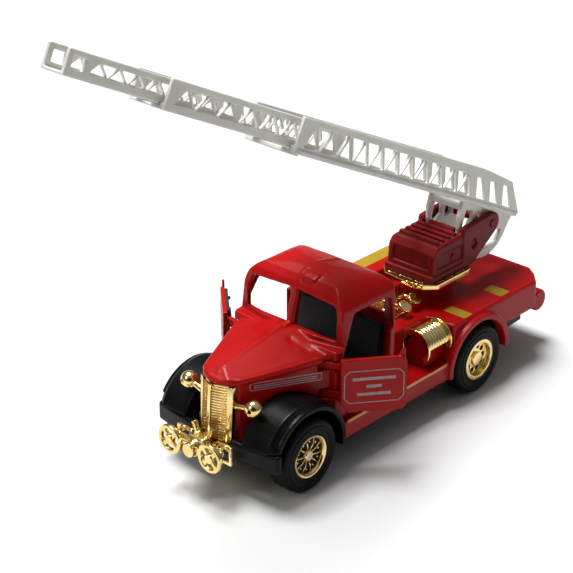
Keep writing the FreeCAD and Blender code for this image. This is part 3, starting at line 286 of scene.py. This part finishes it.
def soften(obj, weight, rounds):
    """Smooth only where weight(x, |y|, z) is above 0, in mm from the rear axle."""
    group = obj.vertex_groups.new(name="soft")
    for v in obj.data.vertices:
        w = weight(v.co.x * 1000.0 + CENTRE_X, abs(v.co.y) * 1000.0, v.co.z * 1000.0)
        if w > 0.0:
            group.add([v.index], w, "REPLACE")
    sm = obj.modifiers.new("soft", "SMOOTH")
    sm.vertex_group = "soft"
    sm.factor = 0.5
    sm.iterations = rounds
    applied(obj)
    obj.vertex_groups.clear()


def cast(node, body, material, slot, voxel, rounds, extra=(), cuts=(), soft=()):
    """A cast or moulded part: the CAD solid with its added reliefs, its edges rounded off."""
    obj = node_copy(node, node + "_cast")
    for tool in cuts:
        carve(obj, tool)
    if extra:
        join(obj, list(extra))
    if not (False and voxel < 0.3):
        re = obj.modifiers.new("re", "REMESH")
        re.mode = "VOXEL"
        re.voxel_size = voxel / 1000.0
        sm = obj.modifiers.new("sm", "SMOOTH")
        sm.factor = 0.5
        sm.iterations = rounds
        applied(obj)
        for weight, more in soft:
            soften(obj, weight, more)
        return finish_mesh(obj, body, material, (node,))
    return finish_mesh(obj, body, material, (node,), 35)


def crisp(node, body, material, width=0.12, angle=32):
    """A small plated or moulded part: the CAD solid with narrow rounded edges."""
    obj = node_copy(node, node + "_fine")
    bm = bmesh.new()
    bm.from_mesh(obj.data)
    bmesh.ops.dissolve_limit(bm, angle_limit=math.radians(1.0), verts=bm.verts, edges=bm.edges)
    bm.to_mesh(obj.data)
    bm.free()
    bv = obj.modifiers.new("bv", "BEVEL")
    bv.width = width / 1000.0
    bv.segments = 2
    bv.limit_method = "ANGLE"
    bv.angle_limit = math.radians(angle)
    bv.use_clamp_overlap = True
    applied(obj)
    return finish_mesh(obj, body, material, (node,), 40)


def lathe(name, profile, x, side, body, material, replaced=()):
    """Turn a (radius, y) profile about the wheel axis at x."""
    steps = 144
    n = len(profile)
    verts = []
    faces = []
    for k in range(steps):
        a = 2 * math.pi * k / steps
        for r, y in profile:
            verts.append(mm(x + r * math.cos(a), side * y, AXLE_Z + r * math.sin(a)))
    for k in range(steps):
        j = (k + 1) % steps
        for i in range(n):
            q = (i + 1) % n
            faces.append([k * n + i, k * n + q, j * n + q, j * n + i])
    obj = solid(name, [(verts, faces)])
    return finish_mesh(obj, body, material, replaced, 50)


def rounded(points, r, steps=4):
    """A closed outline with its corners rounded."""
    out = []
    n = len(points)
    for i in range(n):
        p = Vector((*points[i], 0.0))
        a = Vector((*points[i - 1], 0.0)) - p
        b = Vector((*points[(i + 1) % n], 0.0)) - p
        d = min(r, a.length * 0.45, b.length * 0.45)
        s = p + a.normalized() * d
        e = p + b.normalized() * d
        for k in range(steps + 1):
            t = k / steps
            q = (1 - t) ** 2 * s + 2 * t * (1 - t) * p + t ** 2 * e
            out.append((q.x, q.y))
    return out


def printed(name, outlines, axis, lo, hi, body, material, turn=None):
    """A thin print on the red paint, from one outline for each patch."""
    obj = solid(name, [prism(o, axis, lo, hi) for o in outlines], turn)
    return finish_mesh(obj, body, material, (), 30)


def turned(degrees, point, axis):
    """A turn about an axis through a point in mm."""
    p = mm(*point)
    return Matrix.Translation(p) @ Matrix.Rotation(math.radians(degrees), 4, axis) @ Matrix.Translation(-p)


def bar(u0, v0, u1, v1):
    """A rectangle as an outline."""
    return [(u0, v0), (u1, v0), (u1, v1), (u0, v1)]


def strokes(points, w):
    """Bars of width w along a closed outline."""
    out = []
    for i, (u0, v0) in enumerate(points):
        u1, v1 = points[(i + 1) % len(points)]
        d = Vector((u1 - u0, v1 - v0)).normalized() * (w / 2)
        out.append([(u0 - d.x + d.y, v0 - d.y - d.x), (u1 + d.x + d.y, v1 + d.y - d.x),
                    (u1 + d.x - d.y, v1 + d.y + d.x), (u0 - d.x - d.y, v0 - d.y + d.x)])
    return out


def tube(points, r0, r1=None, sides=14):
    """A round bar along a path of (x, y, z) points, with flat ends."""
    r1 = r0 if r1 is None else r1
    pts = [mm(*p) for p in points]
    n = len(pts)
    verts = []
    for i, p in enumerate(pts):
        d = (pts[min(i + 1, n - 1)] - pts[max(i - 1, 0)]).normalized()
        a = d.cross(Vector((0.31, 0.17, 0.93))).normalized()
        b = d.cross(a)
        r = (r0 + (r1 - r0) * i / (n - 1)) / 1000.0
        for k in range(sides):
            t = 2 * math.pi * k / sides
            verts.append(p + a * (r * math.cos(t)) + b * (r * math.sin(t)))
    faces = [list(range(sides)), list(range((n - 1) * sides, n * sides))[::-1]]
    for i in range(n - 1):
        for k in range(sides):
            q = (k + 1) % sides
            faces.append([i * sides + k, i * sides + q, (i + 1) * sides + q, (i + 1) * sides + k])
    return verts, faces


def wedge(corners, height):
    """A block above a tilted polygon of (x, y, z) corners."""
    n = len(corners)
    verts = [mm(*c) for c in corners] + [mm(x, y, z + height) for x, y, z in corners]
    faces = [list(range(n))[::-1], list(range(n, 2 * n))]
    faces += [[i, (i + 1) % n, n + (i + 1) % n, n + i] for i in range(n)]
    return verts, faces


def ball(x, y, z, r, rings=24):
    """A sphere as (verts, faces)."""
    verts = [mm(x, y, z + r), mm(x, y, z - r)]
    side = 2 * rings
    for i in range(1, rings):
        t = math.pi * i / rings
        for k in range(side):
            a = 2 * math.pi * k / side
            ring = r * math.sin(t)
            verts.append(mm(x + ring * math.cos(a), y + ring * math.sin(a), z + r * math.cos(t)))
    last = 2 + (rings - 2) * side
    faces = []
    for k in range(side):
        q = (k + 1) % side
        faces.append([0, 2 + k, 2 + q])
        faces.append([1, last + q, last + k])
        for i in range(rings - 2):
            upper = 2 + i * side
            lower = upper + side
            faces.append([upper + k, lower + k, lower + q, upper + q])
    return verts, faces


# ---------------------------------------------------------------- cab
def hood_top(x, y):
    """Height of the hood's painted surface."""
    y = abs(y)
    level = 36.2 - y * 2.3 / 8.0 if y < 8.0 else 33.9 - (y - 8.0) * 1.3 / 9.0
    return level - (x - 54.0) * 0.144


def roof_corners(x, y, z):
    """Where the roof is rounded most: its edges and corners, away from the ridge and the windscreen."""
    return ramp(z, 43.9, 45.4) * ramp(y, 6.5, 9.0) * ramp(x, 51.0, 48.5)


def cowl_top(x, y, z):
    """Where the hood runs up to the windscreen, away from the spine."""
    return ramp(x, 56.3, 57.6) * ramp(x, 67.0, 65.0) * ramp(z, 30.3, 31.8) * ramp(y, 1.2, 3.0)


def cab():
    """Cab and hood casting: roof ridge and pad, hood spine, rolled hood edge and two cowl scallops."""
    roof = [(34.4, 0.0, 45.5), (36.2, 0.0, 46.6), (40.0, 0.0, 47.7), (44.0, 0.0, 48.6), (48.0, 0.2, 48.65),
            (50.6, 0.6, 47.8), (52.4, 0.9, 46.3)]
    ridge = solid("ridge", [tube(roof, 0.62)])
    raised = [(48.4, 47.5), (48.4, 48.9), (50.4, 48.75), (51.9, 48.1), (52.2, 46.6)]
    pad = solid("pad", [prism(raised, "y", 1.4, 5.8)])
    crease = [(58.6, 0.0, 35.2), (68.0, 0.0, 33.8), (79.0, 0.0, 32.1), (81.8, 0.0, 30.8)]
    spine = solid("spine", [tube(crease, 0.55)])
    lip = [(59.0, 14.75), (64.0, 12.6), (70.0, 10.05), (76.0, 7.5), (79.9, 5.7), (81.6, 3.9), (82.5, 1.7)]
    path = [(x, y, hood_top(x, y) - 0.85) for x, y in lip[:-3]]
    path += [(79.9, 5.7, 29.9), (81.6, 3.9, 29.75), (82.5, 1.7, 29.7)]
    path += [(x, -y, z) for x, y, z in reversed(path)]
    edge = solid("edge", [tube(path, 1.05)])
    cuts = []
    for s, _ in SIDES:
        foot = [(59.0, 3.8, 0.5), (59.0, 11.6, 0.4), (61.6, 11.8, 0.15), (64.6, 11.0, 0.0), (61.4, 4.2, 0.0)]
        corners = [(x, s * y, hood_top(x, y) - d) for x, y, d in foot]
        cuts.append(solid("scallop", [wedge(corners, 3.0)]))
    cast("cab_body", "truck", RED, "red_paint", 0.26, 9, extra=[ridge, pad, spine, edge], cuts=cuts,
         soft=[(roof_corners, 220), (cowl_top, 30)])


def fenders():
    """Front fenders with a rolled bead along the outer edge of the arch."""
    r = 13.25
    arc = [math.radians(34 + 7.3 * i) for i in range(21)]
    for s, word in SIDES:
        path = [(WHEELBASE + r * math.cos(a), s * 20.75, AXLE_Z + r * math.sin(a)) for a in arc]
        bead = solid("bead", [tube(path, 0.52)])
        cast("front_fender_" + word, "truck", BLACK, "black_plastic", 0.26, 5, extra=[bead])


def headlamps():
    """Plated balls on tapered arms, each with a small dark sight hole at the front."""
    for s, word in SIDES:
        path = [(81.0, s * 5.75, 23.5), (80.9, s * 8.0, 24.0), (80.7, s * 10.4, 24.4)]
        arm = solid("arm", [tube(path, 0.95, 0.7)])
        obj = solid("headlamp_%s_ball" % word, [ball(80.6, s * 11.3, 24.6, 2.35)])
        sight = [(82.2, s * 11.7, 24.75), (84.0, s * 12.1, 24.95)]
        carve(obj, solid("eye_hole", [tube(sight, 0.5, 0.75)]))
        join(obj, [arm])
        re = obj.modifiers.new("re", "REMESH")
        re.mode = "VOXEL"
        re.voxel_size = 0.00011
        sm = obj.modifiers.new("sm", "SMOOTH")
        sm.factor = 0.5
        sm.iterations = 3
        applied(obj)
        finish_mesh(obj, "truck", GOLD, ("headlamp_" + word,))
        eye = solid("headlamp_%s_eye" % word, [ball(82.05, s * 11.66, 24.74, 0.62, 10)])
        finish_mesh(eye, "truck", BLACK)


def doors():
    """Both doors with their print: a frame with cut corners round three bars, laid on the open door."""
    u0 = DOOR_REAR + 0.8
    u1 = DOOR_FRONT - 0.9
    v0 = 20.0
    v1 = 29.1
    c = 1.3
    middle = (u0 + u1) / 2
    outline = [(u0 + c, v0), (u1 - c, v0), (u1, v0 + c), (u1, v1 - c), (u1 - c, v1), (u0 + c, v1),
               (u0, v1 - c), (u0, v0 + c)]
    plates = strokes(outline, 0.26)
    for k, half in enumerate((5.6, 2.0, 4.4)):
        z = v1 - 2.3 - 2.2 * k
        plates.append(bar(middle - half, z - 0.42, middle + half, z + 0.42))
    for s, word in SIDES:
        door = "door_" + word
        cast(door, door, RED, "red_paint", 0.20, 3)
        turn = turned(-s * DOOR_OPEN[word], (DOOR_HINGE[0], s * DOOR_HINGE[1], 0.0), "Z")
        y = s * DOOR_FACE
        lo, hi = sorted((y - s * 0.05, y + s * 0.05))
        printed("door_print_" + word, plates, "y", lo, hi, door, SILVER, turn)


def hood_prints():
    """Louvre print on both sides of the hood: a long outline with bars inside."""
    (rear_x, rear_y), (nose_x, nose_y) = HOOD_SIDE
    a = math.atan2(rear_y - nose_y, nose_x - rear_x)
    first_x = rear_x + 1.8
    for s, word in SIDES:
        start = mm(first_x, s * (rear_y - (first_x - rear_x) * math.tan(a)), 0.0)
        along = Vector((math.cos(a), -s * math.sin(a), 0.0))
        out = Vector((math.sin(a), s * math.cos(a), 0.0))
        rows = [(0.0, 2.0, 20.0, 2.3), (0.0, 0.0, 20.0, 0.3), (0.0, 0.0, 0.3, 2.3), (19.7, 0.0, 20.0, 2.3)]
        rows += [(1.2, 0.62, 18.8, 0.92), (1.2, 1.22, 18.8, 1.52)]
        forms = []
        for u0, v0, u1, v1 in rows:
            verts = []
            for h in (-0.00006, 0.00007):
                for u, v in ((u0, v0), (u1, v0), (u1, v1), (u0, v1)):
                    z = 25.7 + v + u * 0.06
                    verts.append(start + along * (u / 1000.0) + Vector((0, 0, z / 1000.0)) + out * h)
            faces = [[3, 2, 1, 0], [4, 5, 6, 7]]
            faces += [[i, (i + 1) % 4, 4 + (i + 1) % 4, 4 + i] for i in range(4)]
            forms.append((verts, faces))
        obj = solid("hood_print_" + word, forms)
        finish_mesh(obj, "truck", SILVER, (), 30)


def body_prints():
    """Yellow patches on the deck and locker, and the gold line along both skirts."""
    deck = [rounded(bar(1.4, 11.8, 5.1, 19.0), 0.25), rounded(bar(-16.8, 12.0, -12.6, 18.3), 0.25)]
    printed("deck_patches", deck, "z", DECK_TOP - 0.04, DECK_TOP + 0.06, "truck", YELLOW)
    corner = [(-13.4, -20.0), (28.4, -20.0), (28.4, -12.0), (24.2, -12.0), (24.2, -14.4), (23.6, -15.2),
              (22.6, -15.6), (-13.4, -15.6)]
    printed("locker_print", [corner], "z", LOCKER_TOP - 0.04, LOCKER_TOP + 0.06, "truck", YELLOW)
    rows = [bar(13.6, 13.0, 36.0, 13.75), bar(44.0, 13.0, 54.8, 13.75)]
    for s, word in SIDES:
        lo, hi = sorted((s * (SKIRT_FACE - 0.04), s * (SKIRT_FACE + 0.07)))
        printed("skirt_stripe_" + word, rows, "y", lo, hi, "truck", STRIPE)


def spoke(side, turn):
    """One bent wire spoke of a front rim, and the stud beside it."""
    a = math.radians(turn)
    b = math.radians(turn + 18)
    path = [(WHEELBASE + r * math.cos(a), side * y, AXLE_Z + r * math.sin(a))
            for r, y in ((1.4, 20.0), (2.9, 20.3), (5.0, 20.1))]
    stud = (WHEELBASE + 3.9 * math.cos(b), side * 19.85, AXLE_Z + 3.9 * math.sin(b))
    return [tube(path, 0.24, 0.15, 10), ball(*stud, 0.34, 8)]


def wheels():
    """Turned tyres, plated rims, and at the front wire spokes over a black dish, which is painted shade
    standing for the shadowed plate deep in the rim.
    """
    tyre = [(6.02, 14.5), (7.0, 14.4), (8.4, 14.4), (9.4, 14.75), (9.9, 15.5), (10.0, 16.2), (10.0, 17.1),
            (9.93, 17.2), (9.93, 17.4), (10.0, 17.5), (10.0, 18.3), (9.93, 18.4), (9.93, 18.6), (10.0, 18.7),
            (10.0, 19.6), (9.9, 20.3), (9.55, 20.85), (9.0, 21.15), (8.6, 21.22), (8.45, 21.1), (8.3, 21.22),
            (8.1, 21.38), (7.8, 21.4), (7.5, 21.36), (7.3, 21.15), (7.0, 21.1), (6.7, 21.25), (6.4, 21.3),
            (6.02, 21.15)]
    for x, place in ((WHEELBASE, "front"), (0.0, "rear")):
        for side, word in SIDES:
            node = "%s_tyre_%s" % (place, word)
            lathe(node + "_turned", tyre, x, side, place + "_wheels", RUBBER, (node,))
    for _, word in SIDES:
        crisp("rear_rim_" + word, "rear_wheels", GOLD, 0.10)
    ring = [(4.95, 14.6), (5.98, 14.6), (5.98, 20.9), (5.75, 21.15), (5.35, 21.1), (5.0, 20.75), (4.85, 20.2)]
    hub = [(0.85, 14.6), (2.0, 14.6), (2.0, 18.8), (1.5, 18.9), (1.45, 20.3), (1.2, 20.6), (0.85, 20.6)]
    # Painted shade: this dish is made black to stand for the shadow deep in the plated rim's recess.
    shade_dish = [(1.55, 18.9), (5.1, 18.9), (5.1, 19.7), (4.6, 19.5), (1.55, 19.6)]
    for side, word in SIDES:
        rim = "front_rim_" + word
        lathe(rim + "_ring", ring, WHEELBASE, side, "front_wheels", GOLD, (rim,))
        lathe("front_hub_" + word, hub, WHEELBASE, side, "front_wheels", GOLD)
        # The black material here is painted shade for the rim's deep recess, not the dish's own colour.
        lathe("front_dish_" + word, shade_dish, WHEELBASE, side, "front_wheels", BLACK)
        forms = []
        for k in range(10):
            forms += spoke(side, 36 * k + 9)
        finish_mesh(solid("front_spokes_" + word, forms), "front_wheels", GOLD)


cab()
doors()
hood_prints()
body_prints()
wheels()
fenders()
headlamps()
CASTS = (
    # node, body, material, slot, voxel in mm, rounds of smoothing
    ("rear_body", "truck", RED, "red_paint", 0.30, 4),
    ("side_locker", "truck", RED, "red_paint", 0.30, 3),
    ("turret_body", "turret", TURRET_RED, "red_plastic", 0.22, 3),
    ("front_bumper", "truck", BLACK, "black_plastic", 0.28, 3),
    ("reel_stand", "truck", RED, "red_paint", 0.25, 3),
    ("tail_roller", "truck", RED, "red_paint", 0.30, 3),
    ("ladder_main", "ladder_base", WHITE, "white_plastic", 0.22, 2),
    ("ladder_mid", "ladder_middle", WHITE, "white_plastic", 0.20, 2),
    ("ladder_tip", "ladder_top", WHITE, "white_plastic", 0.20, 2),
    ("ladder_cradle", "ladder_base", WHITE, "white_plastic", 0.20, 2),
    ("hose_reel", "truck", GOLD, "gold_plate", 0.16, 2),
    ("turntable_plate", "turret", GOLD, "gold_plate", 0.16, 2),
    ("front_pump", "truck", GOLD, "gold_plate", 0.15, 2),
    ("deck_valves", "truck", GOLD, "gold_plate", 0.16, 2),
    ("pump_handwheel_left", "truck", GOLD, "gold_plate", 0.14, 2),
    ("pump_handwheel_right", "truck", GOLD, "gold_plate", 0.14, 2),
)
for row in CASTS:
    cast(*row)
for name in ("grille", "front_plate"):
    crisp(name, "truck", GOLD, 0.08)

# CAD nodes that are shown as they are.
LOOKS = {
    "chassis_base": BLACK,
    "cab_interior": INSIDE, "steering_wheel": INSIDE, "door_liner_left": INSIDE, "door_liner_right": INSIDE,
    "chassis_screws": STEEL, "door_pins": STEEL, "turret_rivet": STEEL,
    "front_axle": STEEL, "rear_axle": STEEL, "spring_arbor": STEEL, "mainspring": STEEL,
    "pivot_pin": TURRET_RED,
    "axle_gear": NATURAL, "spring_gear": NATURAL, "motor_case_top": NATURAL, "motor_case_bottom": NATURAL,
}
for name, material in LOOKS.items():
    nodes[name].data.materials.clear()
    nodes[name].data.materials.append(material)


# ---------------------------------------------------------------- floor, lights, camera
def floor():
    """A wide sheet of pale paper."""
    mesh = bpy.data.meshes.new("floor")
    bm = bmesh.new()
    bmesh.ops.create_grid(bm, x_segments=8, y_segments=8, size=3.0)
    bm.to_mesh(mesh)
    bm.free()
    obj = holder("floor", mesh)
    obj.location.z = -0.0001
    paper = shader("floor_paper", (0.64, 0.64, 0.64), rough=0.9, vary=0.004, vary_scale=6.0, grain=0.02)
    mesh.materials.append(paper)


def lamp(name, where, target, size, power):
    """A round soft light, in metres and watts."""
    data = bpy.data.lights.new(name, "AREA")
    data.shape = "DISK"
    data.size = size
    data.energy = power
    obj = bpy.data.objects.new(name, data)
    obj.location = where
    obj.rotation_euler = (Vector(target) - Vector(where)).to_track_quat("-Z", "Y").to_euler()
    bpy.context.scene.collection.objects.link(obj)


def world():
    """A light tent: bright overhead, dimmer at the horizon, with a dark opening where it is looked into."""
    w = bpy.data.worlds.new("studio")
    w.use_nodes = True
    t = w.node_tree
    bg = t.nodes["Background"]
    co = t.nodes.new("ShaderNodeTexCoord")
    split = t.nodes.new("ShaderNodeSeparateXYZ")
    t.links.new(co.outputs["Generated"], split.inputs[0])
    sky = t.nodes.new("ShaderNodeMapRange")
    sky.inputs["From Min"].default_value = 0.0
    sky.inputs["From Max"].default_value = 0.9
    sky.inputs["To Min"].default_value = 0.06
    sky.inputs["To Max"].default_value = 0.34
    t.links.new(split.outputs["Z"], sky.inputs["Value"])
    dot = t.nodes.new("ShaderNodeVectorMath")
    dot.operation = "DOT_PRODUCT"
    dot.inputs[1].default_value = (0.674, 0.605, 0.424)
    t.links.new(co.outputs["Generated"], dot.inputs[0])
    hole = t.nodes.new("ShaderNodeMapRange")
    hole.interpolation_type = "SMOOTHSTEP"
    hole.inputs["From Min"].default_value = 0.82
    hole.inputs["From Max"].default_value = 0.93
    hole.inputs["To Min"].default_value = 1.0
    hole.inputs["To Max"].default_value = 0.06
    t.links.new(dot.outputs["Value"], hole.inputs["Value"])
    both = t.nodes.new("ShaderNodeMath")
    both.operation = "MULTIPLY"
    t.links.new(sky.outputs["Result"], both.inputs[0])
    t.links.new(hole.outputs["Result"], both.inputs[1])
    t.links.new(both.outputs[0], bg.inputs[1])
    bg.inputs[0].default_value = (1.0, 1.0, 1.0, 1)
    bpy.context.scene.world = w


def camera():
    """A long lens from the front left, above."""
    data = bpy.data.cameras.new("camera")
    data.sensor_width = 36.0
    data.lens = 112.05
    data.clip_start = 0.01
    obj = bpy.data.objects.new("camera", data)
    where = mm(357.04, 278.54, 247.25)
    aim = mm(56.22, 0.0, 46.0) - where
    turn = aim.to_track_quat("-Z", "Y").to_matrix().to_4x4() @ Matrix.Rotation(math.radians(-0.14), 4, "Z")
    obj.matrix_world = Matrix.Translation(where) @ turn
    bpy.context.scene.collection.objects.link(obj)
    bpy.context.scene.camera = obj


floor()
world()
camera()
lamp("key", (0.0, -0.28, 1.0), (0.0, 0.0, 0.03), 0.50, 18.5)
lamp("front", (0.75, -0.20, 0.60), (0.04, 0.0, 0.03), 0.40, 1.4)
bpy.context.scene.view_settings.view_transform = "Standard"
bpy.context.scene.view_settings.look = "None"
